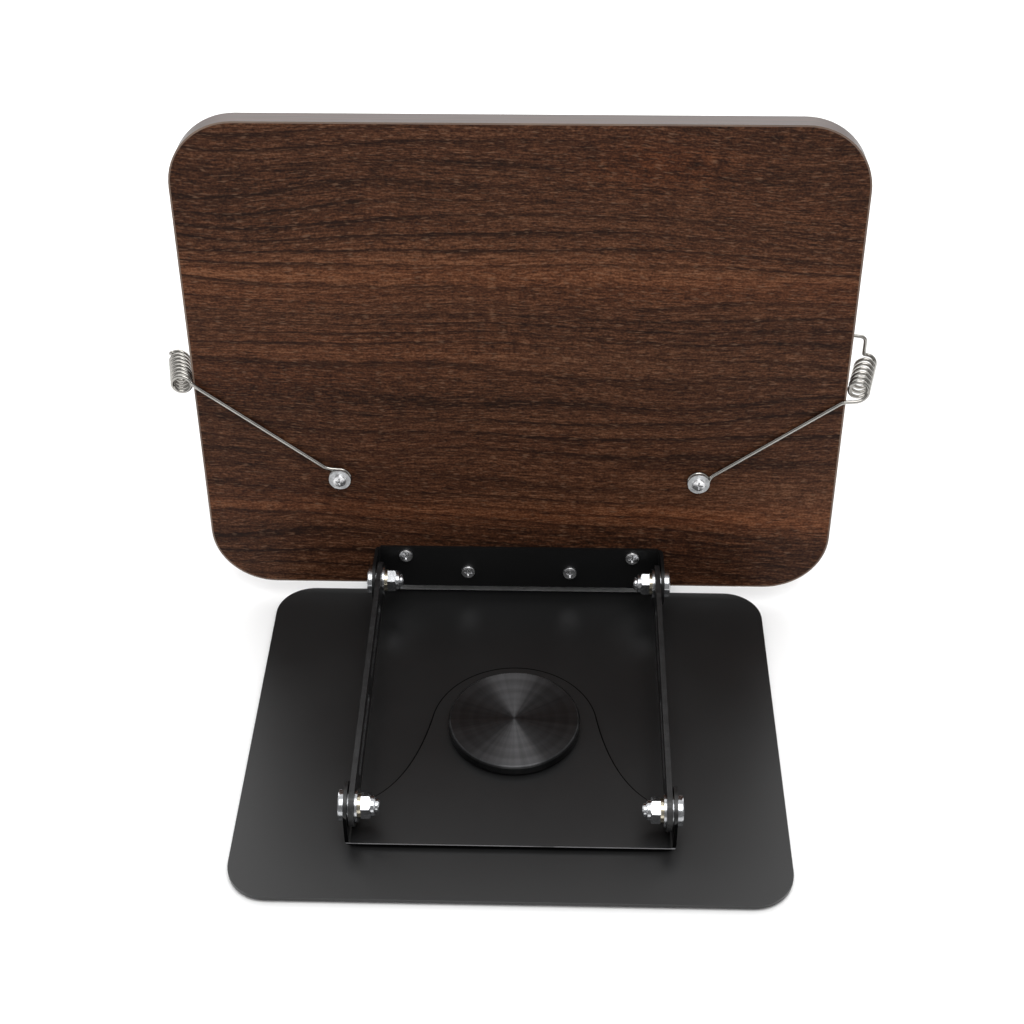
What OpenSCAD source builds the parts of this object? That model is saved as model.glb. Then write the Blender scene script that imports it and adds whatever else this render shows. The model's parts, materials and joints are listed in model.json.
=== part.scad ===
// Tilting album stand: a laminated board with a sheet-steel ledge, carried on two
// folding arms over a steel base plate with a swivel in its middle.
// Frame: +Z up, origin on the swivel axis at the surface the feet stand on,
// the album side faces -Y, the wire clips' screws and the pivots face +Y.

/* [Base plate] */
// Width of the base plate
base_w = 240; // [220:1:260]
// Depth of the base plate
base_d = 192; // [180:1:210]
// Thickness of the base plate
base_t = 2; // [2:0.5:3]
// Corner radius of the base plate
base_r = 18; // [10:1:24]
// Height of the rubber feet
foot_h = 1.5; // [1:0.5:3]

/* [Swivel] */
// Diameter of the swivel disc
disc_d = 60; // [52:1:64]
// Thickness of the swivel disc
disc_t = 5.4; // [4.5:0.1:7]
// Radius of the rounded tongue of the swivel bracket
tongue_r = 38.3; // [35:0.1:42]

/* [Brackets and arms] */
// Clear width between the ears of both brackets
ear_in = 138.4; // [136:0.1:146]
// Thickness of the bracket sheet
sheet = 1.5; // [1.2:0.1:2]
// Radius of the ears around the pivots
ear_r = 10.3; // [9.5:0.1:11]
// Length of the arms between the pivots
arm_l = 139.94; // [120:0.01:160]
// Height of the arms' sheet
arm_w = 18; // [15:0.5:19]
// Thickness of the arms
arm_t = 2.3; // [2:0.1:3]
// Angle of the arms above level as set down
arm_lift = 1.54; // [0:0.01:6]

/* [Board] */
// Width of the board
board_w = 302; // [280:1:320]
// Height of the board
board_h = 241; // [220:1:260]
// Thickness of the board
board_t = 10; // [8:0.5:12]
// Corner radius of the board
board_r = 30; // [20:1:40]
// Thickness of the edge band
band_t = 0.8; // [0.5:0.1:1.5]
// How far the board leans forward as set down, in degrees
lean = 5.14; // [0:0.01:8]
// Depth of the ledge in front of the board
ledge_d = 32; // [25:1:34]
// Height of the ledge's lip
lip_h = 10; // [8:1:14]

/* [Wire clips] */
// Diameter of the clip wire
wire_d = 1.8; // [1.5:0.1:2]
// Mean diameter of the clip's coil
coil_d = 9; // [8:0.1:9.4]
// Turns in each coil
coil_turns = 7; // [6:1:8]
// Reach of the front arm of each clip
clip_reach = 92; // [70:1:100]

/* [Hidden] */

black = [0.07, 0.07, 0.075];
steel = [0.80, 0.80, 0.80];
walnut = [0.26, 0.16, 0.11];

z_plate = foot_h + base_t;             // top of the base plate
gap = 0.1;                             // running gap between flat faces that turn on each other
z_br = z_plate + 1.5;                  // underside of the swivel bracket
z_brt = z_br + sheet;                  // its top
z_disc = z_brt + 0.5;                  // underside of the swivel disc
lo = [58.7, z_brt + 12.45];            // lower pivot axis, Y and Z
up = [lo[0] - arm_l * cos(arm_lift), lo[1] + arm_l * sin(arm_lift)]; // upper pivot axis
hx = ear_in / 2;                       // inner face of an ear
pv = [14, 11.5];                       // upper pivot behind the board's back face, and above its bottom edge
bolt_r = 3;                            // M6
wr = wire_d / 2;
hub_r = 12;
hub_pcd = 14;

// ---- helpers ----
module rrect(w, d, r) {                // rounded rectangle, centred, from exact arcs
  union() {
    square([w - 2 * r, d], center = true);
    square([w, d - 2 * r], center = true);
    for (x = [-1, 1], y = [-1, 1]) translate([x * (w / 2 - r), y * (d / 2 - r)]) circle(r = r, $fn = 96);
  }
}
module ring(ro, ri, h) difference() {
  cylinder(r = ro, h = h, $fn = 64);
  translate([0, 0, -1]) cylinder(r = ri, h = h + 2, $fn = 64);
}
// along +X, starting at x0
module alongx(x0) translate([x0, 0, 0]) rotate([0, 90, 0]) children();
module both() { children(); mirror([1, 0, 0]) children(); }
// places a child drawn around the upper pivot, with the board upright, at the board's lean
module leaned() translate([0, up[0], up[1]]) rotate([lean, 0, 0]) children();
// board frame: X across, Y = behind the board's back face, Z above its bottom edge
module on_board() leaned() translate([0, -pv[0], -pv[1]]) children();
// straight wire between two points
module rod(a, b, r) {
  d = b - a; l = norm(d);
  translate(a) rotate([0, acos(d[2] / l), atan2(d[1], d[0])]) cylinder(r = r, h = l, $fn = 20);
}
module cross_recess(r, d) for (a = [0, 90]) rotate([0, 0, a]) translate([-r, -r * 0.2, -d]) cube([2 * r, r * 0.4, d + 1]);
// flat-domed head: height at its middle, radius, and radius of its rounded shoulder
module head(hr, hh, e, dome) rotate_extrude($fn = 64) intersection() {
  union() {
    square([hr - e, hh]);
    square([hr, hh - e]);
    translate([hr - e, hh - e]) circle(r = e, $fn = 48);
  }
  translate([0, hh - dome]) circle(r = dome, $fn = 256);
  square([hr + 1, hh + 1]);
}
// pan-head screw, its head's underside at z = 0 and its shank going down
module pan_screw(hr, hh, sr, sl) {
  difference() {
    union() {
      head(hr, hh, hh * 0.55, hr * 4);
      translate([0, 0, -sl]) cylinder(r = sr, h = sl, $fn = 32);
    }
    translate([0, 0, hh]) cross_recess(hr * 0.6, hh * 0.6);
  }
}
// flat button-head bolt along X from its head's underside, shank towards -X
module pivot_bolt(x0, l) translate([x0, 0, 0]) rotate([0, 90, 0]) difference() {
  union() {
    head(6.9, 3.5, 1.5, 24);
    translate([0, 0, -l + 0.6]) cylinder(r = bolt_r, h = l - 0.6, $fn = 48);
    translate([0, 0, -l]) cylinder(r1 = bolt_r - 0.6, r2 = bolt_r, h = 0.6, $fn = 48);
  }
  translate([0, 0, 1.4]) cylinder(r = 2.31, h = 3, $fn = 6);
}
module lock_nut(x0) alongx(x0) difference() {   // collar towards -X
  union() {
    translate([0, 0, 1.8]) intersection() {
      cylinder(r = 5.77, h = 4.2, $fn = 6);
      union() {
        translate([0, 0, 0]) cylinder(r1 = 5.1, r2 = 5.9, h = 0.8, $fn = 48);
        translate([0, 0, 0.8]) cylinder(r = 5.9, h = 3.4, $fn = 48);
      }
    }
    cylinder(r1 = 4.0, r2 = 4.5, h = 0.5, $fn = 48);
    translate([0, 0, 0.5]) cylinder(r = 4.5, h = 1.3, $fn = 48);
  }
  translate([0, 0, -1]) cylinder(r = bolt_r + 0.02, h = 8, $fn = 48);
}
module spring_washer(x0) alongx(x0) difference() {
  cylinder(r = 5.3, h = 1.4, $fn = 64);
  translate([0, 0, -1]) cylinder(r = bolt_r + 0.1, h = 4, $fn = 64);
  rotate([0, 0, 200]) translate([0, -0.35, -1]) cube([8, 0.7, 4]);
}
// the stack on one pivot, drawn around the axis: positions along X
ew_t = 0.5;                            // washer between ear and arm
fw_t = 1.1;
x_arm = hx - ew_t - gap - arm_t;       // inner face of an arm
x_fw = x_arm - gap - fw_t;             // flat washer
x_sw = x_fw - 1.4;                     // spring washer
x_nut = x_sw - 6.0;                    // nut with its collar
module lower() translate([0, lo[0], lo[1]]) both() children();
module upper() leaned() both() children();

// ---- base ----
module base_plate() color(black) difference() {
  translate([0, 0, foot_h]) linear_extrude(base_t) rrect(base_w, base_d, base_r);
  for (a = [45:90:315]) rotate([0, 0, a]) translate([hub_pcd / 2, 0, 0]) {
    translate([0, 0, foot_h - 1]) cylinder(r = 1.6, h = 5, $fn = 32);
    translate([0, 0, foot_h - 0.01]) cylinder(r1 = 3.02, r2 = 1.6, h = 1.5, $fn = 32);
  }
}
module rubber_feet() color([0.12, 0.12, 0.12])
  for (x = [-1, 1], y = [-1, 1]) translate([x * (base_w / 2 - 20), y * (base_d / 2 - 20), 0]) cylinder(r = 8, h = foot_h, $fn = 64);
module centre_pad() color([0.12, 0.12, 0.12]) cylinder(r = 20, h = foot_h, $fn = 96);
module hub_screws() color(steel)
  for (a = [45:90:315]) rotate([0, 0, a]) translate([hub_pcd / 2, 0, foot_h]) difference() {
    union() {
      cylinder(r1 = 2.9, r2 = 1.5, h = 1.45, $fn = 32);
      cylinder(r = 1.5, h = 9, $fn = 32);
    }
    cross_recess(1.5, 0); translate([0, 0, 0.8]) cross_recess(1.4, 1.4);
  }
// turned disc with the boss that the bracket swivels on
module swivel_disc() color([0.12, 0.12, 0.125]) difference() {
  rotate_extrude($fn = 128) polygon([
    [0, z_plate], [hub_r, z_plate], [hub_r, z_disc], [disc_d / 2 - 0.8, z_disc], [disc_d / 2, z_disc + 0.8],
    [disc_d / 2, z_disc + disc_t - 1.1], [disc_d / 2 - 1.1, z_disc + disc_t], [0, z_disc + disc_t]]);
  for (a = [45:90:315]) rotate([0, 0, a]) translate([hub_pcd / 2, 0, z_plate - 1]) cylinder(r = 1.52, h = 8.6, $fn = 32);
}
module lower_thrust_washer() color([0.85, 0.85, 0.8]) translate([0, 0, z_plate]) ring(28, hub_r + 0.1, z_br - gap - z_plate);
module upper_thrust_washer() color([0.85, 0.85, 0.8]) translate([0, 0, z_brt + gap]) ring(26, hub_r + 0.1, z_disc - z_brt - gap);

// ---- turntable ----
function bez(p, t) = pow(1 - t, 3) * p[0] + 3 * pow(1 - t, 2) * t * p[1] + 3 * (1 - t) * t * t * p[2] + t * t * t * p[3];
ear_y0 = lo[0] - ear_r; ear_y1 = lo[0] + ear_r;
flank = [[tongue_r * cos(10), -tongue_r * sin(10)], [tongue_r * cos(10) + 3.6, 14], [49.5, 42.5], [hx + sheet, ear_y0 - 0.5]];
module tongue2d() {
  circle(r = tongue_r, $fn = 128);
  polygon([for (i = [0:16]) bez(flank, i / 16),
           [hx + sheet, ear_y1], [-hx - sheet, ear_y1],
           for (i = [16:-1:0]) [-bez(flank, i / 16)[0], bez(flank, i / 16)[1]]]);
}
module swivel_bracket() color(black) difference() {
  union() {
    translate([0, 0, z_br]) linear_extrude(sheet) intersection() {
      tongue2d();
      translate([-hx + 1, -60]) square([2 * hx - 2, 200]);
    }
    both() {
      // bend between plate and ear
      translate([hx - 1, ear_y1, z_br + 1 + sheet]) rotate([90, 0, 0]) bend(2 * ear_r);
      translate([hx, ear_y0, z_br + 1 + sheet]) cube([sheet, 2 * ear_r, lo[1] - z_br - 1 - sheet]);
      translate([0, lo[0], lo[1]]) alongx(hx) cylinder(r = ear_r, h = sheet, $fn = 96);
    }
  }
  translate([0, 0, z_br - 1]) cylinder(r = hub_r + 0.05, h = 5, $fn = 128);
  translate([0, lo[0], lo[1]]) alongx(-hx - 5) cylinder(r = bolt_r + 0.05, h = 2 * hx + 10, $fn = 64);
}
// right-angled bend of the sheet, inside radius 1, its centre line along +Z; the sheet comes in along X at the
// bottom and leaves along Y at the right
module bend(h) intersection() {
  difference() {
    cylinder(r = 1 + sheet, h = h, $fn = 48);
    translate([0, 0, -1]) cylinder(r = 1, h = h + 2, $fn = 48);
  }
  translate([0, -4, -1]) cube([4, 4, h + 2]);
}
module lower_pivot_bolts() color(steel) lower() pivot_bolt(hx + sheet, 14.6);
module lower_ear_washers() color(steel) lower() alongx(hx - ew_t) ring(7, bolt_r + 0.1, ew_t);
module lower_flat_washers() color(steel) lower() alongx(x_fw) ring(7.25, bolt_r + 0.1, fw_t);
module lower_spring_washers() color([0.78, 0.72, 0.6]) lower() spring_washer(x_sw);
module lower_lock_nuts() color(steel) lower() lock_nut(x_nut);

// ---- arms ----
// drawn along -Y from the lower pivot, then lifted
module arm_blank() translate([x_arm, 0, 0]) rotate([90, 0, 90]) linear_extrude(arm_t) difference() {
  union() {
    translate([-arm_l, -arm_w / 2]) square([arm_l, arm_w]);
    circle(d = arm_w, $fn = 96);
    translate([-arm_l, 0]) circle(d = arm_w, $fn = 96);
  }
  circle(r = bolt_r + 0.05, $fn = 64);
  translate([-arm_l, 0]) circle(r = bolt_r + 0.05, $fn = 64);
  for (s = [[-62, -20], [-120, -78]]) {
    translate([s[0], -3]) square([s[1] - s[0], 6]);
    for (q = s) translate([q, 0]) circle(r = 3, $fn = 48);
  }
}
module placed_arm() translate([0, lo[0], lo[1]]) rotate([-arm_lift, 0, 0]) arm_blank();
module left_arm() color(black) placed_arm();
module right_arm() color(black) mirror([1, 0, 0]) placed_arm();

// ---- upper pivots ----
module upper_pivot_bolts() color(steel) upper() pivot_bolt(hx + sheet, 14.6);
module upper_ear_washers() color(steel) upper() alongx(hx - ew_t) ring(7, bolt_r + 0.1, ew_t);
module upper_flat_washers() color(steel) upper() alongx(x_fw) ring(7.25, bolt_r + 0.1, fw_t);
module upper_spring_washers() color([0.78, 0.72, 0.6]) upper() spring_washer(x_sw);
module upper_lock_nuts() color(steel) upper() lock_nut(x_nut);

// ---- board ----
scr = [[55.7, 18.0], [25.2, 8.6]];     // bracket screws, across and above the bottom edge
clip_at = [85.6, 62.9];                // clip screws
module board_panel() color(walnut) on_board() difference() {
  translate([0, 0, board_h / 2]) rotate([90, 0, 0]) linear_extrude(board_t) rrect(board_w - 2 * band_t, board_h - 2 * band_t, board_r - band_t);
  both() {
    for (s = scr) translate([s[0], 1, s[1]]) rotate([90, 0, 0]) cylinder(r = 1.5, h = 8.6, $fn = 24);
    translate([clip_at[0], 1, clip_at[1]]) rotate([90, 0, 0]) cylinder(r = 1.5, h = 8.6, $fn = 24);
  }
}
module edge_band() color([0.2, 0.12, 0.09]) on_board() translate([0, 0, board_h / 2]) rotate([90, 0, 0]) linear_extrude(board_t) difference() {
  rrect(board_w, board_h, board_r);
  rrect(board_w - 2 * band_t, board_h - 2 * band_t, board_r - band_t);
}
// one bent sheet: back plate, ledge under the board, lip, and two ears
br_top = 22.5;
ledge_y = -board_t - ledge_d;          // inner face of the lip
module board_bracket() color(black) on_board() difference() {
  union() {
    rotate([90, 0, 90]) translate([0, 0, -hx - sheet]) linear_extrude(2 * (hx + sheet)) union() {
        translate([ledge_y, -sheet]) square([-ledge_y, sheet]);
        translate([ledge_y - sheet, 0]) square([sheet, lip_h]);
        intersection() { circle(r = sheet, $fn = 48); translate([0, -4]) square(4); }
        translate([ledge_y, 0]) intersection() { circle(r = sheet, $fn = 48); translate([-4, -4]) square(4); }
    }
    translate([-hx + 1, 0, 0]) cube([2 * hx - 2, sheet, br_top]);
    both() {
      translate([hx - 1, 1 + sheet, pv[1] - ear_r]) bend(2 * ear_r);
      translate([hx, 1 + sheet, pv[1] - ear_r]) cube([sheet, pv[0] - 1 - sheet, 2 * ear_r]);
      translate([hx, pv[0], pv[1]]) rotate([0, 90, 0]) cylinder(r = ear_r, h = sheet, $fn = 96);
    }
  }
  translate([-hx - 5, pv[0], pv[1]]) rotate([0, 90, 0]) cylinder(r = bolt_r + 0.05, h = 2 * hx + 10, $fn = 64);
  both() for (s = scr) translate([s[0], 5, s[1]]) rotate([90, 0, 0]) cylinder(r = 1.8, h = 6, $fn = 32);
}
module bracket_screws() color(steel) on_board() both() for (s = scr) translate([s[0], sheet, s[1]]) rotate([-90, 0, 0]) pan_screw(3.4, 1.8, 1.48, 9.0);
module clip_screws() color(steel) on_board() both() translate([clip_at[0], 3.5, clip_at[1]]) rotate([-90, 0, 0]) pan_screw(3.1, 1.7, 1.48, 10.5);
module clip_washers() color([0.9, 0.9, 0.9]) on_board() both() translate([clip_at[0], 2.5, clip_at[1]]) rotate([-90, 0, 0]) ring(5.2, 1.7, 1.0);

// ---- wire clips, drawn in the board frame on the +X side ----
wy = 0.3 + wr;                         // wire centre behind the board's back face
loop_r = 4.6;                          // mean radius of the loop round the screw
coil_r = coil_d / 2;
ring_at = [board_w / 2 + 4.8, 113.4];  // centre of the coil's first ring, across and above the bottom edge
coil_y0 = 1.9;                         // wire centre of the first turn, behind the back face
// a coil: [length, splay outwards over that length, start angle, direction, turns]
coilL = [24.6, 5.7, 155, -1, coil_turns + 0.27];
coilR = [27.5, 7.2, 300, 1, coil_turns - 0.583];
// point of a coil at the fraction t of its turns, from the back to the front
function coil_pt(c, t) = let (a = c[2] + c[3] * 360 * c[4] * t)
  [ring_at[0] + c[1] * t + coil_r * cos(a), coil_y0 - c[0] * t, ring_at[1] + coil_r * sin(a)];
function unit(v) = v / norm(v);
// tube of 8 sides along points
module tube(p, r) {
  n = len(p); s = 8;
  tan_ = [for (i = [0:n - 1]) unit(p[min(i + 1, n - 1)] - p[max(i - 1, 0)])];
  ring_ = [for (i = [0:n - 1]) let (t = tan_[i], u = unit(cross(t, [0, 1, 0])), v = cross(t, u))
    for (k = [0:s - 1]) p[i] + r * (u * cos(k * 360 / s) + v * sin(k * 360 / s))];
  faces = concat([[for (k = [0:s - 1]) k]], [[for (k = [s - 1:-1:0]) (n - 1) * s + k]],
    [for (i = [0:n - 2], k = [0:s - 1]) [i * s + k, (i + 1) * s + k, (i + 1) * s + (k + 1) % s]],
    [for (i = [0:n - 2], k = [0:s - 1]) [i * s + k, (i + 1) * s + (k + 1) % s, i * s + (k + 1) % s]]);
  polyhedron(points = ring_, faces = faces);
}
function steps(c) = ceil(c[4] * 16);     // sides per coil, 16 to a turn
module coil(c) tube([for (i = [0:steps(c)]) coil_pt(c, i / steps(c))], wr);
bendL = [ring_at[0] - 7.4, wy, 111.2]; // where a leg turns to its coil
bendR = [ring_at[0] - 6.8, wy, 107.3];
kinkL = [clip_at[0] + 6.0, wy, clip_at[1] + loop_r + 0.5]; // where a leg turns to its loop
kinkR = [clip_at[0] + loop_r + 1.1, wy, clip_at[1] + 2.9];
tanL = [clip_at[0] + 0.4, wy, clip_at[1] + loop_r - 0.05]; // where it meets the loop
tanR = [clip_at[0] + loop_r - 0.05, wy, clip_at[1] - 0.4];
// leg from the loop round the screw to the coil's first point
module clip_leg(c, bend, kink, tan) {
  e = coil_pt(c, 0);
  translate([clip_at[0], wy, clip_at[1]]) rotate([90, 0, 0]) rotate_extrude($fn = 64) translate([loop_r, 0]) circle(r = wr * 1.05, $fn = 20);
  rod(tan, kink, wr * 0.92);
  translate(kink) sphere(r = wr * 1.04, $fn = 20);
  rod(kink, bend, wr * 0.96);
  translate(bend) sphere(r = wr * 1.04, $fn = 20);
  rod(bend, e, wr * 0.94);
  translate(e) sphere(r = wr * 1.02, $fn = 20);
}
fy = -board_t - 1.4 - wr;              // wire centre where a front arm comes down over the board's face
// front arms: straight on from the coil's end, forwards, then inwards over the face
function past(c, d) = coil_pt(c, 1) + unit(coil_pt(c, 1) - coil_pt(c, 1 - 1 / steps(c))) * d;
function yc(c) = coil_y0 - c[0];
armL = [past(coilL, 0.1), past(coilL, 2.6) - [0, 0.3, 0], [ring_at[0] - 7.8, yc(coilL) - 2.6, 107.6],
        [ring_at[0] - 7.8 - clip_reach * 0.62, fy, 107.6 - clip_reach * 0.36]];
armR = [past(coilR, 0.1), past(coilR, 1.4), [ring_at[0] + 6.0, yc(coilR) - 0.8, 126.8],
        [ring_at[0] - 6, yc(coilR) - 1.2, 128.4], [ring_at[0] - 6 - clip_reach * 0.93, fy, 128.4 - clip_reach * 0.22]];
module clip_arm(a) {
  n = len(a);
  for (i = [0:n - 2]) rod(a[i], a[i + 1], wr * (0.98 - 0.01 * i));
  for (i = [1:n - 2]) translate(a[i]) sphere(r = wr * 1.04, $fn = 20);
}
module clip_tip(a) {                   // soft sleeve over the last part of the wire
  n = len(a); e = a[n - 1]; d = unit(e - a[n - 2]); ro = wr + 0.5;
  translate(e - d * 16) rotate([0, acos(d[2]), atan2(d[1], d[0])]) rotate_extrude($fn = 32)
    polygon([[wr, 0], [ro - 0.2, 0], [ro, 0.2], [ro, 16.3], [ro * 0.92, 16.9], [ro * 0.7, 17.4], [ro * 0.38, 17.7], [0, 17.8], [0, 16.1], [wr, 16.1]]);
}
module left_clip_leg() color(steel) on_board() clip_leg(coilL, bendL, kinkL, tanL);
module left_clip_coil() color(steel) on_board() coil(coilL);
module left_clip_arm() color(steel) on_board() clip_arm(armL);
module left_clip_tip() color([0.1, 0.1, 0.1]) on_board() clip_tip(armL);
module right_clip_leg() color(steel) on_board() mirror([1, 0, 0]) clip_leg(coilR, bendR, kinkR, tanR);
module right_clip_coil() color(steel) on_board() mirror([1, 0, 0]) coil(coilR);
module right_clip_arm() color(steel) on_board() mirror([1, 0, 0]) clip_arm(armR);
module right_clip_tip() color([0.1, 0.1, 0.1]) on_board() mirror([1, 0, 0]) clip_tip(armR);

base_plate();
rubber_feet();
centre_pad();
hub_screws();
swivel_disc();
lower_thrust_washer();
upper_thrust_washer();
swivel_bracket();
lower_pivot_bolts();
lower_ear_washers();
lower_flat_washers();
lower_spring_washers();
lower_lock_nuts();
left_arm();
right_arm();
upper_pivot_bolts();
upper_ear_washers();
upper_flat_washers();
upper_spring_washers();
upper_lock_nuts();
board_panel();
edge_band();
board_bracket();
bracket_screws();
clip_screws();
clip_washers();
left_clip_leg();
left_clip_coil();
left_clip_arm();
left_clip_tip();
right_clip_leg();
right_clip_coil();
right_clip_arm();
right_clip_tip();
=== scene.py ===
import bpy, bmesh, json, math
from mathutils import Vector, Matrix, noise


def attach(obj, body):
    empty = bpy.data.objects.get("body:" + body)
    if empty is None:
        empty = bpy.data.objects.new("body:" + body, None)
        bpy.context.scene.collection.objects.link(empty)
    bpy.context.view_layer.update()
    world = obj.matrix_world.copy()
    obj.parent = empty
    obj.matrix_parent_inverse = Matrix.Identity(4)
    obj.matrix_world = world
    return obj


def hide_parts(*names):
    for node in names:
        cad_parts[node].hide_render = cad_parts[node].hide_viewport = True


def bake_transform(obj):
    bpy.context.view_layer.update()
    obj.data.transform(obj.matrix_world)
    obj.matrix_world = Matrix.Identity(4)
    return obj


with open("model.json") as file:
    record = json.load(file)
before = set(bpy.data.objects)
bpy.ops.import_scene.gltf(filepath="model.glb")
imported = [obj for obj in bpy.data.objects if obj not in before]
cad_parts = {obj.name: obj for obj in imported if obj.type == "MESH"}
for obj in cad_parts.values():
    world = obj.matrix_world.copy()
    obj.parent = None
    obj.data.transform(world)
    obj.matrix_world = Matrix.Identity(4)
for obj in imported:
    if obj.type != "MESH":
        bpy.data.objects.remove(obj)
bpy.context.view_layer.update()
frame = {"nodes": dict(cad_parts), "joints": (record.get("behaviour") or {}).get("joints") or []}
N = frame["nodes"]
MM = 0.001
scene = bpy.context.scene
joint = {j["name"]: j for j in frame["joints"]}
UP = Vector(joint["board_tilt"]["pos_m"])          # upper pivot axis
AX = Vector(joint["left_clip_swing"]["axis"])      # the board's back normal
LEAN = math.atan2(AX.z, AX.y)


def on_board(u, n, v):
    """Board frame in mm (across, behind the back face, above the bottom edge) to the row frame in metres."""
    c, s = math.cos(LEAN), math.sin(LEAN)
    y, z = n - 14.0, v - 11.5
    return Vector((u * MM, UP.y + (y * c - z * s) * MM, UP.z + (y * s + z * c) * MM))


# ------------------------------------------------------------------ materials
class Mat:
    """A node material in a few words: every call adds a node and returns its output."""

    def __init__(self, name):
        self.m = bpy.data.materials.new(name)
        self.m.use_nodes = True
        self.t = self.m.node_tree
        self.t.nodes.clear()
        self.out = self.t.nodes.new("ShaderNodeOutputMaterial")
        self.b = self.t.nodes.new("ShaderNodeBsdfPrincipled")
        self.t.links.new(self.b.outputs[0], self.out.inputs[0])

    def put(self, socket, value):
        if isinstance(value, bpy.types.NodeSocket):
            self.t.links.new(value, socket)
        elif value is not None:
            socket.default_value = value

    def set(self, **kw):
        for k, v in kw.items():
            self.put(self.b.inputs[k.replace("_", " ")], v)
        return self

    def coords(self, scale=(1, 1, 1), loc=(0, 0, 0), rot=(0, 0, 0), kind="POINT", src=None):
        if src is None:
            src = self.t.nodes.new("ShaderNodeTexCoord").outputs["Object"]
        n = self.t.nodes.new("ShaderNodeMapping")
        n.vector_type = kind
        n.inputs["Location"].default_value = loc
        n.inputs["Rotation"].default_value = rot
        n.inputs["Scale"].default_value = scale
        self.t.links.new(src, n.inputs["Vector"])
        return n.outputs[0]

    def noise(self, vec, scale, detail=3.0, rough=0.5, distort=0.0, lac=2.0, colour=False):
        n = self.t.nodes.new("ShaderNodeTexNoise")
        self.t.links.new(vec, n.inputs["Vector"])
        for k, v in (("Scale", scale), ("Detail", detail), ("Roughness", rough), ("Distortion", distort), ("Lacunarity", lac)):
            n.inputs[k].default_value = v
        return n.outputs["Color" if colour else "Fac"]

    def voronoi(self, vec, scale, feature="F1", rand=1.0):
        n = self.t.nodes.new("ShaderNodeTexVoronoi")
        n.feature = feature
        self.t.links.new(vec, n.inputs["Vector"])
        n.inputs["Scale"].default_value = scale
        n.inputs["Randomness"].default_value = rand
        return n.outputs["Distance"]

    def wave(self, vec, scale, distort=0.0, detail=2.0, dscale=1.0, kind="BANDS", direction="Z", profile="SIN"):
        n = self.t.nodes.new("ShaderNodeTexWave")
        n.wave_type = kind
        if kind == "BANDS":
            n.bands_direction = direction
        else:
            n.rings_direction = direction
        n.wave_profile = profile
        self.t.links.new(vec, n.inputs["Vector"])
        for k, v in (("Scale", scale), ("Distortion", distort), ("Detail", detail), ("Detail Scale", dscale)):
            n.inputs[k].default_value = v
        return n.outputs["Fac"]

    def math(self, op, a, b=0.0, c=None, clamp=False):
        n = self.t.nodes.new("ShaderNodeMath")
        n.operation = op
        n.use_clamp = clamp
        self.put(n.inputs[0], a)
        self.put(n.inputs[1], b)
        if c is not None:
            self.put(n.inputs[2], c)
        return n.outputs[0]

    def ramp(self, fac, stops, kind="LINEAR"):
        n = self.t.nodes.new("ShaderNodeValToRGB")
        n.color_ramp.interpolation = kind
        e = n.color_ramp.elements
        while len(e) > 1:
            e.remove(e[-1])
        for i, (p, c) in enumerate(stops):
            x = e[0] if i == 0 else e.new(p)
            x.position = p
            c = (c, c, c) if isinstance(c, (int, float)) else c
            x.color = (*c, 1)
        self.t.links.new(fac, n.inputs[0])
        return n.outputs[0]

    def remap(self, fac, a, b, c, d, smooth=False):
        n = self.t.nodes.new("ShaderNodeMapRange")
        n.interpolation_type = "SMOOTHSTEP" if smooth else "LINEAR"
        self.put(n.inputs[0], fac)
        for i, v in enumerate((a, b, c, d)):
            n.inputs[i + 1].default_value = v
        return n.outputs[0]

    def mix(self, fac, a, b, kind="MIX"):
        n = self.t.nodes.new("ShaderNodeMix")
        n.data_type = "RGBA"
        n.blend_type = kind
        self.put(n.inputs[0], fac)
        self.put(n.inputs[6], (*a, 1) if isinstance(a, tuple) else a)
        self.put(n.inputs[7], (*b, 1) if isinstance(b, tuple) else b)
        return n.outputs[2]

    def sep(self, vec):
        n = self.t.nodes.new("ShaderNodeSeparateXYZ")
        self.t.links.new(vec, n.inputs[0])
        return n.outputs

    def comb(self, x=0.0, y=0.0, z=0.0):
        n = self.t.nodes.new("ShaderNodeCombineXYZ")
        for s, v in zip(n.inputs, (x, y, z)):
            self.put(s, v)
        return n.outputs[0]

    def bump(self, height, strength=0.2, distance=0.0002, normal=None):
        n = self.t.nodes.new("ShaderNodeBump")
        n.inputs["Strength"].default_value = strength
        n.inputs["Distance"].default_value = distance
        self.t.links.new(height, n.inputs["Height"])
        if normal is not None:
            self.t.links.new(normal, n.inputs["Normal"])
        self.t.links.new(n.outputs[0], self.b.inputs["Normal"])
        return n.outputs[0]


def srgb(*c):
    return tuple((x / 255 / 12.92) if x <= 10 else ((x / 255 + 0.055) / 1.055) ** 2.4 for x in c)


# TONGUE is the radius of the tongue's nose; the second value is the width of the painted shadow line round it
TONGUE, SHADOW_LINE_WIDTH = 0.0383, 0.00050
FLANK = [(TONGUE * math.cos(math.radians(10)), -TONGUE * math.sin(math.radians(10))),
         (TONGUE * math.cos(math.radians(10)) + 0.0036, 0.014), (0.0495, 0.0425), (0.0707, 0.0479)]


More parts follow.
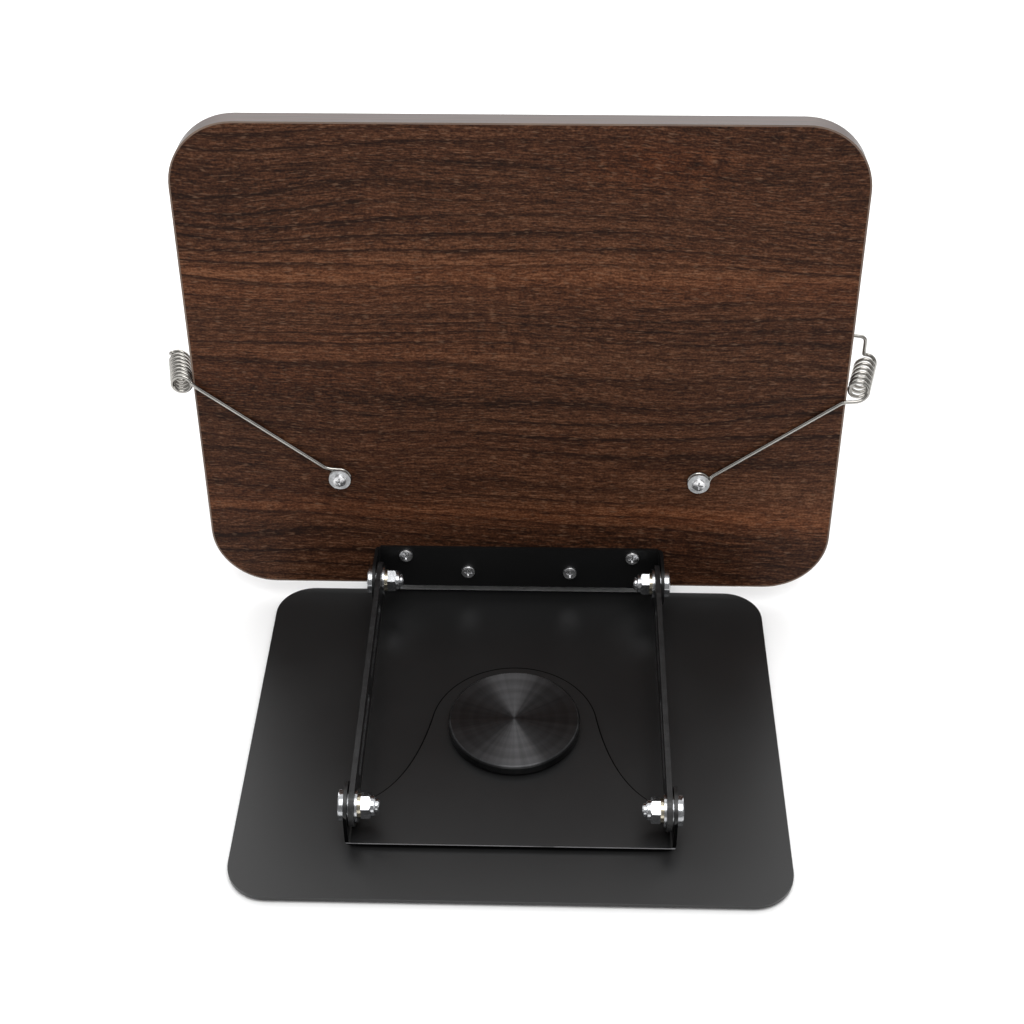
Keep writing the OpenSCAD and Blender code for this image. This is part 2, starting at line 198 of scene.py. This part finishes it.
def powder_steel(name, grey=0.0062, rough=(0.34, 0.44), spec=0.5, painted_shadow_line=False):
    """Satin black powder coat: very fine orange peel, a little unevenness in the gloss, a few specks of dust."""
    m = Mat(name)
    c = m.coords()
    blotch = m.noise(c, 14, 3, 0.55)
    fine = m.noise(c, 900, 2, 0.5)
    peel = m.noise(c, 2600, 2, 0.6)
    speck = m.voronoi(c, 300)
    col = m.ramp(blotch, [(0.3, (grey * 0.9, grey * 0.9, grey * 0.95)), (0.7, (grey * 1.12, grey * 1.12, grey * 1.16))])
    dust = m.remap(speck, 0.0, 0.05, 1.0, 0.0)
    col = m.mix(m.math("MULTIPLY", dust, 0.04), col, (0.22, 0.22, 0.22))
    m.set(Base_Color=col, Metallic=0.0)
    if painted_shadow_line:
        # painted shadow line: a thin dark band painted on the tongue's face round the nose, then down both flanks,
        # standing for the shade in the gap between the raised tongue and the base plate
        x, y, z = m.sep(c)[0:3]
        rr = m.math("SQRT", m.math("ADD", m.math("MULTIPLY", x, x), m.math("MULTIPLY", y, y)))
        nose = m.math("MULTIPLY", m.math("GREATER_THAN", rr, TONGUE - SHADOW_LINE_WIDTH), m.math("LESS_THAN", y, FLANK[0][1]))
        stops = []
        for q in range(25):
            u = q / 24
            w = ((1 - u) ** 3, 3 * u * (1 - u) ** 2, 3 * u * u * (1 - u), u ** 3)
            stops.append((sum(a * b[1] for a, b in zip(w, FLANK)), sum(a * b[0] for a, b in zip(w, FLANK))))
        lo_y, hi_y = stops[0][0], stops[-1][0]
        edge = m.ramp(m.remap(y, lo_y, hi_y, 0.0, 1.0), [((a - lo_y) / (hi_y - lo_y), b * 10.0) for a, b in stops])
        near = m.math("GREATER_THAN", m.math("ADD", m.math("MULTIPLY", m.math("ABSOLUTE", x), 10.0), SHADOW_LINE_WIDTH * 10.0 * 1.15), edge)
        band = m.math("MULTIPLY", m.math("GREATER_THAN", y, FLANK[0][1]), m.math("LESS_THAN", y, hi_y - 0.002))
        # rim is the mask of the painted shadow line: painted near black, with little gloss
        rim = m.math("MAXIMUM", nose, m.math("MULTIPLY", near, band), clamp=True)
        col = m.mix(rim, col, (0.0004, 0.0004, 0.0004))
        m.set(Base_Color=col)
        m.put(m.b.inputs["Specular IOR Level"], m.remap(rim, 0.0, 1.0, spec, 0.05))
    m.put(m.b.inputs["Roughness"], m.remap(m.math("ADD", m.math("MULTIPLY", blotch, 0.6), m.math("MULTIPLY", fine, 0.4)), 0.3, 0.7, *rough))
    m.b.inputs["IOR"].default_value = 1.5
    if not painted_shadow_line:
        m.b.inputs["Specular IOR Level"].default_value = spec
    m.bump(m.math("ADD", m.math("MULTIPLY", fine, 0.6), peel), 0.10, 0.00005)
    return m.m


def cut_steel(name):
    """The arms' sheared edges under the same coat: rough lines across the thickness, greyer where the coat is thin."""
    m = Mat(name)
    c = m.coords()
    across = m.noise(m.coords((300.0, 1400.0, 300.0), src=c), 1.0, 3, 0.65)
    along = m.noise(m.coords((2200.0, 120.0, 120.0), src=c), 1.0, 2, 0.5)
    blot = m.noise(c, 160, 3, 0.6)
    t = m.math("ADD", m.math("MULTIPLY", across, 0.5), m.math("MULTIPLY", blot, 0.5))
    col = m.ramp(t, [(0.36, (0.0045, 0.0045, 0.0048)), (0.52, (0.010, 0.010, 0.0105)), (0.66, (0.022, 0.022, 0.023))])
    m.set(Base_Color=col, Metallic=0.0)
    m.put(m.b.inputs["Roughness"], m.remap(across, 0.35, 0.65, 0.36, 0.58))
    m.bump(m.math("ADD", across, m.math("MULTIPLY", along, 0.4)), 0.5, 0.00012)
    return m.m


def paint_rear_edge_light(name):
    """The sheet's rear face: a painted highlight, a bright band along its long upper corner, and painted shade, near
    black with no gloss, on the rest.
    """
    m = Mat(name)
    c = m.coords()
    x, y, z = m.sep(c)[0:3]
    a = m.noise(c, 500, 3, 0.6)
    b = m.noise(c, 70, 3, 0.6)
    # painted highlight: a bright band along the upper corner of the rear face, broken up by noise
    rear = m.math("MULTIPLY", m.math("MULTIPLY", m.remap(z, 0.00590, 0.00602, 0.0, 1.0), m.remap(z, 0.0066, 0.0068, 1.0, 0.0)), m.remap(b, 0.34, 0.44, 0.45, 1.0))
    # the rest of the rear face is painted near black as painted shade
    col = m.mix(rear, (0.0030, 0.0030, 0.0031), (0.40, 0.40, 0.41))
    m.set(Base_Color=col, Metallic=0.0)
    m.put(m.b.inputs["Specular IOR Level"], m.math("MULTIPLY", rear, 0.5))
    m.put(m.b.inputs["Roughness"], m.remap(a, 0.35, 0.65, 0.30, 0.46))
    m.bump(a, 0.15, 0.00004)
    return m.m


def zinc(name, tint=(0.60, 0.61, 0.63), rough=(0.14, 0.26), bump=0.05):
    m = Mat(name)
    c = m.coords()
    a = m.noise(c, 260, 4, 0.6)
    b = m.noise(c, 1500, 2, 0.5)
    col = m.mix(m.remap(a, 0.35, 0.7, 0, 1), tint, tuple(x * 0.55 for x in tint))
    m.set(Base_Color=col, Metallic=1.0)
    m.put(m.b.inputs["Roughness"], m.remap(m.math("ADD", m.math("MULTIPLY", a, 0.5), m.math("MULTIPLY", b, 0.5)), 0.35, 0.65, *rough))
    m.bump(b, bump, 0.00003)
    return m.m


def wire_steel(name):
    """Drawn stainless wire: smooth, warm grey, faint streaks."""
    m = Mat(name)
    c = m.coords()
    a = m.noise(c, 420, 3, 0.5)
    b = m.noise(c, 60, 2, 0.5)
    col = m.mix(m.remap(b, 0.35, 0.7, 0, 1), (0.40, 0.385, 0.36), (0.30, 0.29, 0.27))
    m.set(Base_Color=col, Metallic=1.0)
    m.put(m.b.inputs["Roughness"], m.remap(a, 0.35, 0.65, 0.16, 0.24))
    m.bump(a, 0.03, 0.00002)
    return m.m


def rubber(name, grey=0.022):
    m = Mat(name)
    c = m.coords()
    a = m.noise(c, 900, 3, 0.6)
    b = m.noise(c, 60, 3, 0.5)
    m.set(Base_Color=m.ramp(b, [(0.3, grey * 0.8), (0.7, grey * 1.25)]), Metallic=0.0)
    m.put(m.b.inputs["Roughness"], m.remap(a, 0.3, 0.7, 0.62, 0.82))
    m.bump(a, 0.25, 0.00006)
    return m.m


def nylon(name):
    m = Mat(name)
    c = m.coords()
    a = m.noise(c, 300, 3, 0.6)
    m.set(Base_Color=m.ramp(a, [(0.3, (0.62, 0.60, 0.54)), (0.7, (0.74, 0.73, 0.68))]), Metallic=0.0)
    m.b.inputs["Subsurface Weight"].default_value = 0.1
    m.b.inputs["Subsurface Radius"].default_value = (0.001, 0.001, 0.001)
    m.put(m.b.inputs["Roughness"], m.remap(a, 0.3, 0.7, 0.38, 0.5))
    m.bump(a, 0.08, 0.00004)
    return m.m


def spun_disc(name):
    """Black anodised disc with a spun face: concentric tool marks that stretch the gloss into two fans. The two fans
    are also painted into the colour as a painted reflection, and the side wall is painted dark as painted shade.
    """
    m = Mat(name)
    c = m.coords()
    x, y, z = m.sep(c)[0:3]
    r = m.math("SQRT", m.math("ADD", m.math("MULTIPLY", x, x), m.math("MULTIPLY", y, y)))
    ring = m.comb(r, 0.0, m.math("MULTIPLY", z, 0.2))
    grooves = m.noise(ring, 2600, 3, 0.7)
    wide = m.noise(ring, 320, 2, 0.5)
    col = m.mix(m.remap(wide, 0.3, 0.7, 0, 1), (0.070, 0.070, 0.072), (0.092, 0.092, 0.096))
    ux, uy = m.math("DIVIDE", x, m.math("ADD", r, 0.0002)), m.math("DIVIDE", y, m.math("ADD", r, 0.0002))
    # painted reflection: brighter fans towards and away from the camera, darker to the sides, broken into rays
    painted_fans = m.ramp(m.math("MULTIPLY", uy, uy), [(0.0, 0.80), (0.30, 0.66), (0.52, 0.64), (0.70, 0.84), (0.88, 1.02)])
    rays = m.remap(m.noise(m.comb(m.math("MULTIPLY", ux, 7.0), m.math("MULTIPLY", uy, 7.0), 0.0), 1.0, 2, 0.6), 0.3, 0.7, 0.82, 1.16)
    # painted shade: the side wall below the face is painted dark
    painted_side_shade = m.remap(z, 0.0117, 0.0121, 0.22, 1.0)
    col = m.mix(1.0, col, m.math("MULTIPLY", m.math("MULTIPLY", painted_fans, rays), painted_side_shade), "MULTIPLY")
    m.set(Base_Color=col, Metallic=0.9)
    m.put(m.b.inputs["Roughness"], m.remap(m.math("ADD", m.math("MULTIPLY", grooves, 0.6), m.math("MULTIPLY", wide, 0.4)), 0.3, 0.7, 0.30, 0.38))
    m.b.inputs["Anisotropic"].default_value = 0.96
    m.b.inputs["Anisotropic Rotation"].default_value = 0.25
    t = m.t.nodes.new("ShaderNodeTangent")
    t.direction_type = "RADIAL"
    t.axis = "Z"
    m.t.links.new(t.outputs[0], m.b.inputs["Tangent"])
    m.bump(grooves, 0.10, 0.00002)
    return m.m


def walnut(name):
    """Dark walnut laminate with its grain across the board: belts, growth lines that close round a figure at one
    corner, streaks, and short light and dark dashes."""
    m = Mat(name)
    src = m.coords((1, 1, 1), tuple(UP), (LEAN, 0, 0), "TEXTURE")       # board frame, metres, from the upper pivot
    x, y, z = m.sep(src)[0:3]
    v = m.math("ADD", z, 0.0115)                                         # height above the bottom edge
    sag = m.noise(m.coords((2.6, 1, 4.0), src=src), 1.0, 2, 0.5)
    swell = m.noise(m.coords((8.0, 1, 22.0), (3.1, 0, 1.7), src=src), 1.0, 3, 0.5)
    zz = m.math("ADD", v, m.math("MULTIPLY", m.math("SUBTRACT", sag, 0.5), 0.050))
    zz = m.math("ADD", zz, m.math("MULTIPLY", m.math("SUBTRACT", swell, 0.5), 0.010))
    zz = m.math("SUBTRACT", zz, m.math("MULTIPLY", x, 0.030))
    g = m.comb(x, y, zz)
    # the figure near one upper corner
    dx = m.math("MULTIPLY", m.math("ADD", x, 0.062), 1 / 0.030)
    dz = m.math("MULTIPLY", m.math("SUBTRACT", v, 0.222), 1 / 0.010)
    knot = m.math("POWER", 2.718, m.math("MULTIPLY", m.math("ADD", m.math("MULTIPLY", dx, dx), m.math("MULTIPLY", dz, dz)), -1.0))
    # growth lines: dark late wood that ends sharply
    drift = m.noise(m.coords((2.2, 1, 12.0), (7, 0, 3), src=g), 1.0, 2, 0.5)
    phase = m.math("ADD", m.math("MULTIPLY", zz, 112.0), m.math("MULTIPLY", drift, 9.0))
    phase = m.math("ADD", phase, m.math("MULTIPLY", knot, 2.8))
    jag = m.noise(m.coords((110.0, 1, 620.0), (2, 0, 8), src=g), 1.0, 2, 0.6)
    phase = m.math("ADD", phase, m.math("MULTIPLY", m.math("SUBTRACT", jag, 0.5), 0.34))
    saw = m.math("FRACT", phase)
    line = m.ramp(saw, [(0.0, 0.45), (0.04, 0.10), (0.25, 0.0), (0.60, 0.12), (0.80, 0.42), (0.90, 1.0), (0.985, 1.0), (1.0, 0.5)])
    force = m.remap(m.noise(m.coords((4.0, 1, 40.0), (1, 0, 5), src=g), 1.0, 2, 0.5), 0.36, 0.62, 0.12, 1.0)
    line = m.math("MULTIPLY", line, force)
    broad = m.remap(m.noise(m.coords((1.8, 1, 26.0), (4, 0, 6), src=g), 1.0, 3, 0.55), 0.32, 0.68, 0.0, 1.0)
    streak = m.remap(m.noise(m.coords((6.0, 1, 300.0), (1, 0, 7), src=g), 1.0, 3, 0.6), 0.30, 0.70, 0.0, 1.0)
    thin = m.remap(m.noise(m.coords((60.0, 1, 800.0), (2, 0, 9), src=g), 1.0, 1, 0.5), 0.28, 0.72, 0.0, 1.0)
    fibre = m.remap(m.noise(m.coords((190.0, 1, 1250.0), (6, 0, 2), src=g), 1.0, 1, 0.5), 0.28, 0.72, 0.0, 1.0)
    grit = m.remap(m.noise(m.coords((800.0, 1, 1250.0), (3, 0, 5), src=g), 1.0, 1, 0.5), 0.28, 0.72, 0.0, 1.0)
    t = m.math("ADD", m.math("MULTIPLY", broad, 0.22), m.math("MULTIPLY", streak, 0.16))
    t = m.math("ADD", t, m.math("MULTIPLY", thin, 0.22))
    t = m.math("ADD", t, m.math("MULTIPLY", fibre, 0.30))
    t = m.math("ADD", t, m.math("MULTIPLY", grit, 0.30))
    t = m.math("SUBTRACT", t, m.math("ADD", m.math("MULTIPLY", line, 0.14), 0.03))
    belt = m.ramp(m.math("MULTIPLY", zz, 4.0),
                  [(0.0, 0.0), (0.12, 0.02), (0.155, 0.13), (0.20, 0.02), (0.40, 0.0), (0.60, 0.0), (0.68, 0.12), (0.74, 0.02), (0.9, 0.0)])
    t = m.math("ADD", t, belt)
    col = m.ramp(t, [(0.22, WOOD[0]), (0.38, WOOD[1]), (0.50, WOOD[2]), (0.62, WOOD[3]), (0.76, WOOD[4]), (0.92, WOOD[5])])
    # warmer and redder patches, and the orange heart of the figure
    hue = m.noise(m.coords((3.0, 1, 20.0), (9, 0, 9), src=g), 1.0, 2, 0.5)
    col = m.mix(m.remap(hue, 0.50, 0.66, 0.0, 0.45), col, (0.80, 0.74, 0.74), "MULTIPLY")
    col = m.mix(m.remap(hue, 0.34, 0.48, 0.55, 0.0), col, (1.22, 1.06, 0.94), "MULTIPLY")
    warm = m.math("MULTIPLY", m.math("ADD", m.math("MULTIPLY", knot, 0.9), m.math("MULTIPLY", belt, 5.0)), 0.8, clamp=True)
    col = m.mix(warm, col, (1.40, 1.10, 0.84), "MULTIPLY")
    col = m.mix(m.math("MULTIPLY", line, 0.72), col, WOOD[0])
    # short dashes
    pores = m.remap(m.noise(m.coords((230.0, 1, 1100.0), (8, 0, 4), src=g), 1.0, 1, 0.5), 0.56, 0.68, 0.0, 1.0)
    light = m.remap(m.noise(m.coords((210.0, 1, 1200.0), (4, 0, 3), src=g), 1.0, 1, 0.5), 0.58, 0.72, 0.0, 1.0)
    col = m.mix(m.math("MULTIPLY", pores, 0.50), col, WOOD[0])
    col = m.mix(m.math("MULTIPLY", light, 0.45), col, WOOD[6])
    m.set(Base_Color=col, Metallic=0.0)
    m.put(m.b.inputs["Roughness"], m.remap(fibre, 0.0, 1.0, 0.42, 0.54))
    m.b.inputs["Specular IOR Level"].default_value = 0.09
    h = m.math("SUBTRACT", m.math("MULTIPLY", fibre, 0.5), pores)
    m.bump(h, 0.25, 0.00007)
    return m.m


WOOD = [srgb(28, 15, 9), srgb(44, 25, 15), srgb(60, 35, 22), srgb(74, 45, 29), srgb(92, 60, 41), srgb(112, 78, 57), srgb(126, 95, 74)]


def edge_banding(name, rim=False):
    """Printed edge band, plainer than the faces; its cut rims are paler."""
    m = Mat(name)
    src = m.coords((1, 1, 1), tuple(UP), (LEAN, 0, 0), "TEXTURE")
    a = m.noise(m.coords((14.0, 900.0, 14.0), src=src), 1.0, 4, 0.6)
    b = m.noise(m.coords((40.0, 2500.0, 40.0), (3, 1, 5), src=src), 1.0, 3, 0.6)
    t = m.math("ADD", m.math("MULTIPLY", a, 0.6), m.math("MULTIPLY", b, 0.4))
    if rim:
        col = m.ramp(t, [(0.35, srgb(92, 72, 60)), (0.52, srgb(108, 88, 74)), (0.66, srgb(124, 104, 88))])
    else:
        col = m.ramp(t, [(0.35, srgb(40, 24, 17)), (0.52, srgb(54, 33, 24)), (0.66, srgb(72, 47, 36))])
    m.set(Base_Color=col, Metallic=0.0)
    m.put(m.b.inputs["Roughness"], m.remap(b, 0.35, 0.65, 0.32, 0.42))
    m.bump(b, 0.10, 0.00005)
    return m.m


# ------------------------------------------------------------------ smooth wire for the clips
WR = 0.9                                             # wire radius, mm
CLIP = (85.6, 62.9)
LOOP = 4.6
RING = (155.8, 113.4)
COIL_R = 4.5
WY = 0.3 + WR
SIDES = {
    "left": dict(coil=(24.6, 5.7, 155.0, -1, 7.27), bend=(RING[0] - 7.4, WY, 111.2), kink=(CLIP[0] + 6.0, WY, CLIP[1] + LOOP + 0.5),
                 loop=(420.0, 85.0), s=1, out=2.6, fwd=0.3,
                 arm=[(RING[0] - 7.8, 1.9 - 24.6 - 2.6, 107.6), (RING[0] - 7.8 - 92 * 0.62, -10 - 1.4 - WR, 107.6 - 92 * 0.36)]),
    "right": dict(coil=(27.5, 7.2, 300.0, 1, 6.417), bend=(RING[0] - 6.8, WY, 107.3), kink=(CLIP[0] + LOOP + 1.1, WY, CLIP[1] + 2.9),
                  loop=(-335.0, -5.0), s=-1, out=1.4, fwd=0.0,
                  arm=[(RING[0] + 6.0, 1.9 - 27.5 - 0.8, 126.8), (RING[0] - 6, 1.9 - 27.5 - 1.2, 128.4),
                       (RING[0] - 6 - 92 * 0.93, -10 - 1.4 - WR, 128.4 - 92 * 0.22)]),
}


def coil_pt(c, t):
    a = math.radians(c[2] + c[3] * 360 * c[4] * t)
    return Vector((RING[0] + c[1] * t + COIL_R * math.cos(a), 1.9 - c[0] * t, RING[1] + COIL_R * math.sin(a)))


def rounded(pts, d=2.4, n=8):
    """The polyline with each inner corner replaced by a smooth bend that starts d mm before it."""
    out = [pts[0]]
    for p, q, r in zip(pts, pts[1:], pts[2:]):
        k = min(d, 0.45 * (q - p).length, 0.45 * (r - q).length)
        a, b = q + (p - q).normalized() * k, q + (r - q).normalized() * k
        out += [a * (1 - t) ** 2 + q * 2 * t * (1 - t) + b * t * t for t in (i / n for i in range(n + 1))]
    return out + [pts[-1]]


def hermite(p, tp, q, tq, n=14):
    out = []
    for i in range(n + 1):
        t = i / n
        out.append(p * (2 * t ** 3 - 3 * t * t + 1) + tp * (t ** 3 - 2 * t * t + t) + q * (-2 * t ** 3 + 3 * t * t) + tq * (t ** 3 - t * t))
    return out


def tube(name, pts, r, sides=18, s=1):
    """Closed round wire along pts, given in the board frame in mm; s = -1 puts it on the other side."""
    clean = [pts[0]]
    for p in pts[1:]:
        if (p - clean[-1]).length > 0.05:
            clean.append(p)
    w = [on_board(p.x * s, p.y, p.z) for p in clean]
    n = len(w)
    tan = [(w[min(i + 1, n - 1)] - w[max(i - 1, 0)]).normalized() for i in range(n)]
    ref = Vector((0, 0, 1)) if abs(tan[0].z) < 0.8 else Vector((1, 0, 0))
    u = (ref - tan[0] * ref.dot(tan[0])).normalized()
    bm = bmesh.new()
    rings = []
    for i in range(n):
        u = (u - tan[i] * u.dot(tan[i])).normalized()
        v = tan[i].cross(u)
        rings.append([bm.verts.new(w[i] + (u * math.cos(a) + v * math.sin(a)) * r * MM) for a in (2 * math.pi * k / sides for k in range(sides))])
    for a, b in zip(rings, rings[1:]):
        for k in range(sides):
            bm.faces.new((a[k], a[(k + 1) % sides], b[(k + 1) % sides], b[k]))
    bm.faces.new(list(reversed(rings[0])))
    bm.faces.new(rings[-1])
    bmesh.ops.recalc_face_normals(bm, faces=bm.faces)
    for f in bm.faces:
        f.smooth = len(f.verts) == 4
    me = bpy.data.meshes.new(name)
    bm.to_mesh(me)
    bm.free()
    o = bpy.data.objects.new(name, me)
    scene.collection.objects.link(o)
    return o


steel = powder_steel("black_steel")
steel_dark = powder_steel("black_steel_folded", 0.0034, (0.40, 0.50), 0.30)
steel_cut = cut_steel("black_steel_cut_edge")
# the swivel bracket's coat, with a painted shadow line round the tongue
tongue_painted_shadow_m = powder_steel("black_steel_tongue_painted_shadow", painted_shadow_line=True)
rear_edge_painted_m = paint_rear_edge_light("rear_edge_painted_light")
zinc_m = zinc("bright_zinc")
zinc_warm = zinc("warm_zinc", (0.66, 0.60, 0.47), (0.16, 0.30))
zinc_light = zinc("light_zinc", (0.90, 0.91, 0.92), (0.34, 0.46), 0.12)
zinc_screw = zinc("screw_zinc", (0.95, 0.95, 0.96), (0.20, 0.34), 0.10)
wire_m = wire_steel("drawn_wire")
rubber_m = rubber("foot_rubber")
tip_m = rubber("soft_sleeve", 0.018)
nylon_m = nylon("nylon_washer")
disc_m = spun_disc("spun_disc")
wood_m = walnut("walnut_laminate")
band_m = edge_banding("walnut_edge_band")
rim_m = edge_banding("walnut_edge_rim", True)

LOOK = {
    "base_plate": steel, "rubber_feet": rubber_m, "centre_pad": rubber_m, "hub_screws": zinc_m, "swivel_disc": disc_m,
    "lower_thrust_washer": nylon_m, "upper_thrust_washer": nylon_m, "swivel_bracket": tongue_painted_shadow_m,
    "lower_pivot_bolts": zinc_m, "lower_ear_washers": zinc_m, "lower_flat_washers": zinc_m,
    "lower_spring_washers": zinc_warm, "lower_lock_nuts": zinc_m,
    "left_arm": steel, "right_arm": steel,
    "upper_pivot_bolts": zinc_m, "upper_ear_washers": zinc_m, "upper_flat_washers": zinc_m,
    "upper_spring_washers": zinc_warm, "upper_lock_nuts": zinc_m,
    "board_panel": wood_m, "edge_band": band_m, "board_bracket": steel_dark, "bracket_screws": zinc_screw,
    "clip_screws": zinc_screw, "clip_washers": zinc_light,
    "left_clip_leg": wire_m, "left_clip_coil": wire_m, "left_clip_arm": wire_m, "left_clip_tip": tip_m,
    "right_clip_leg": wire_m, "right_clip_coil": wire_m, "right_clip_arm": wire_m, "right_clip_tip": tip_m,
}
BEVEL = {"base_plate": 0.35, "swivel_bracket": 0.15, "left_arm": 0.25, "right_arm": 0.25, "board_bracket": 0.25, "edge_band": 0.3,
         "swivel_disc": 0.1}
for n, o in N.items():
    o.data.materials.clear()
    o.data.materials.append(LOOK[n])
    if n in BEVEL:
        b = o.modifiers.new("edge_round", "BEVEL")
        b.width = BEVEL[n] * MM
        b.segments = 3
        b.limit_method = "ANGLE"
        b.angle_limit = math.radians(40)
        b.harden_normals = True
    o.data.shade_smooth()


def second_finish(node, material, test):
    """Faces of a node that pass test(normal, centre) take a second finish."""
    o = N[node]
    o.data.materials.append(material)
    mw = o.matrix_world
    r = mw.to_3x3()
    for f in o.data.polygons:
        if test((r @ f.normal).normalized(), mw @ f.center):
            f.material_index = 1


for n in ("left_arm", "right_arm"):
    second_finish(n, steel_cut, lambda nor, c: abs(nor.x) < 0.5)
# the rear faces of the swivel bracket take the painted highlight and painted shade
second_finish("swivel_bracket", rear_edge_painted_m, lambda nor, c: nor.y > 0.7 and c.y > 0.0685)
second_finish("edge_band", rim_m, lambda nor, c: abs(nor.dot(AX)) > 0.7)

for side, d in SIDES.items():
    c, s = d["coil"], d["s"]
    a0, a1 = (math.radians(a) for a in d["loop"])
    loop = [Vector((CLIP[0] + LOOP * math.cos(a0 + (a1 - a0) * i / 60), WY, CLIP[1] + LOOP * math.sin(a0 + (a1 - a0) * i / 60))) for i in range(61)]
    kink, bend = Vector(d["kink"]), Vector(d["bend"])
    e = coil_pt(c, 0)
    te = (coil_pt(c, 0.004) - e).normalized()
    straight = (bend - kink).normalized()
    run = rounded([loop[-1], kink, bend - straight * 1.0], 2.2)
    tail = hermite(run[-1], straight * (e - bend).length * 1.1, e, te * (e - bend).length * 1.1)
    leg = tube(side + "_clip_leg_wire", loop + run[1:] + tail[1:], WR, 18, s)
    leg.data.materials.append(wire_m)
    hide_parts(side + "_clip_leg")
    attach(leg, side + "_clip")
    k = int(c[4] * 44)
    coil = tube(side + "_clip_coil_wire", [coil_pt(c, i / k) for i in range(k + 1)], WR, 16, s)
    coil.data.materials.append(wire_m)
    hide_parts(side + "_clip_coil")
    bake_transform(coil)
    f = coil_pt(c, 1)
    tf = (f - coil_pt(c, 0.996)).normalized()
    pts = [f, f + tf * d["out"] - Vector((0, d["fwd"], 0))] + [Vector(p) for p in d["arm"]]
    arm = tube(side + "_clip_arm_wire", rounded(pts, 2.6), WR, 18, s)
    arm.data.materials.append(wire_m)
    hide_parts(side + "_clip_arm")
    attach(arm, side + "_clip_front")

# ------------------------------------------------------------------ stage, light, camera
floor_mesh = bpy.data.meshes.new("floor")
bm = bmesh.new()
bmesh.ops.create_grid(bm, x_segments=1, y_segments=1, size=12.0)
bm.to_mesh(floor_mesh)
bm.free()
floor = bpy.data.objects.new("floor", floor_mesh)
scene.collection.objects.link(floor)
floor.location = (0, 0, -0.0002)
fm = Mat("pale_floor")
fm.set(Base_Color=(0.97, 0.97, 0.97, 1), Roughness=0.9)
floor_mesh.materials.append(fm.m)

world = bpy.data.worlds.new("studio")
world.use_nodes = True
wt = world.node_tree
bg = wt.nodes["Background"]
bg.inputs[0].default_value = (1, 1, 1, 1)
tc = wt.nodes.new("ShaderNodeTexCoord")
sp = wt.nodes.new("ShaderNodeSeparateXYZ")
mr = wt.nodes.new("ShaderNodeMapRange")
wt.links.new(tc.outputs["Generated"], sp.inputs[0])
wt.links.new(sp.outputs[1], mr.inputs[0])
for i, q in enumerate((-0.5, 0.7, 1.15, 0.30)):        # bright behind the board, dim on the camera's side
    mr.inputs[i + 1].default_value = q
wt.links.new(mr.outputs[0], bg.inputs[1])
scene.world = world


def area(name, loc, target, size, power, colour=(1, 1, 1), size_y=None):
    d = bpy.data.lights.new(name, "AREA")
    d.energy = power
    d.color = colour
    d.shape = "RECTANGLE"
    d.size = size
    d.size_y = size_y or size
    o = bpy.data.objects.new(name, d)
    scene.collection.objects.link(o)
    o.location = loc
    o.rotation_mode = "QUATERNION"
    o.rotation_quaternion = (Vector(target) - Vector(loc)).to_track_quat("-Z", "Y")
    return o


area("key", (-0.1, 0.45, 1.3), (0, 0, 0.05), 1.0, 12.0)
area("back", (0.0, -1.25, 1.05), (0, 0, 0.05), 2.2, 13.0, size_y=0.9)

cam_data = bpy.data.cameras.new("camera")
cam = bpy.data.objects.new("camera", cam_data)
scene.collection.objects.link(cam)
scene.camera = cam
PITCH, YAW, ROLL = (math.radians(a) for a in (39.62, 1.83, -0.46))


def rot(axis, a):
    """Same turn as the fitted camera uses: rows act on (right, down, forward)."""
    c, s = math.cos(a), math.sin(a)
    return {"x": Matrix(((1, 0, 0), (0, c, -s), (0, s, c))), "y": Matrix(((c, 0, s), (0, 1, 0), (-s, 0, c))),
            "z": Matrix(((c, -s, 0), (s, c, 0), (0, 0, 1)))}[axis]


B = Matrix(((1, 0, 0), (0, 0, -1), (0, 1, 0)))
R = rot("z", ROLL) @ rot("x", PITCH) @ rot("y", YAW) @ B     # calibration frame to camera (right, down, forward)
flip = Matrix(((-1, 0, 0), (0, -1, 0), (0, 0, 1)))           # calibration frame is the row frame turned half round
rows = [flip @ Vector(R[i]) for i in range(3)]
right, down, fwd = rows
cam.matrix_world = Matrix((
    (right.x, -down.x, -fwd.x, -0.0169), (right.y, -down.y, -fwd.y, 0.5368), (right.z, -down.z, -fwd.z, 0.5789), (0, 0, 0, 1)))
cam_data.sensor_width = 36.0
cam_data.lens = 1700 / 1024 * 36.0
cam_data.clip_start = 0.01

scene.view_settings.view_transform = "Standard"
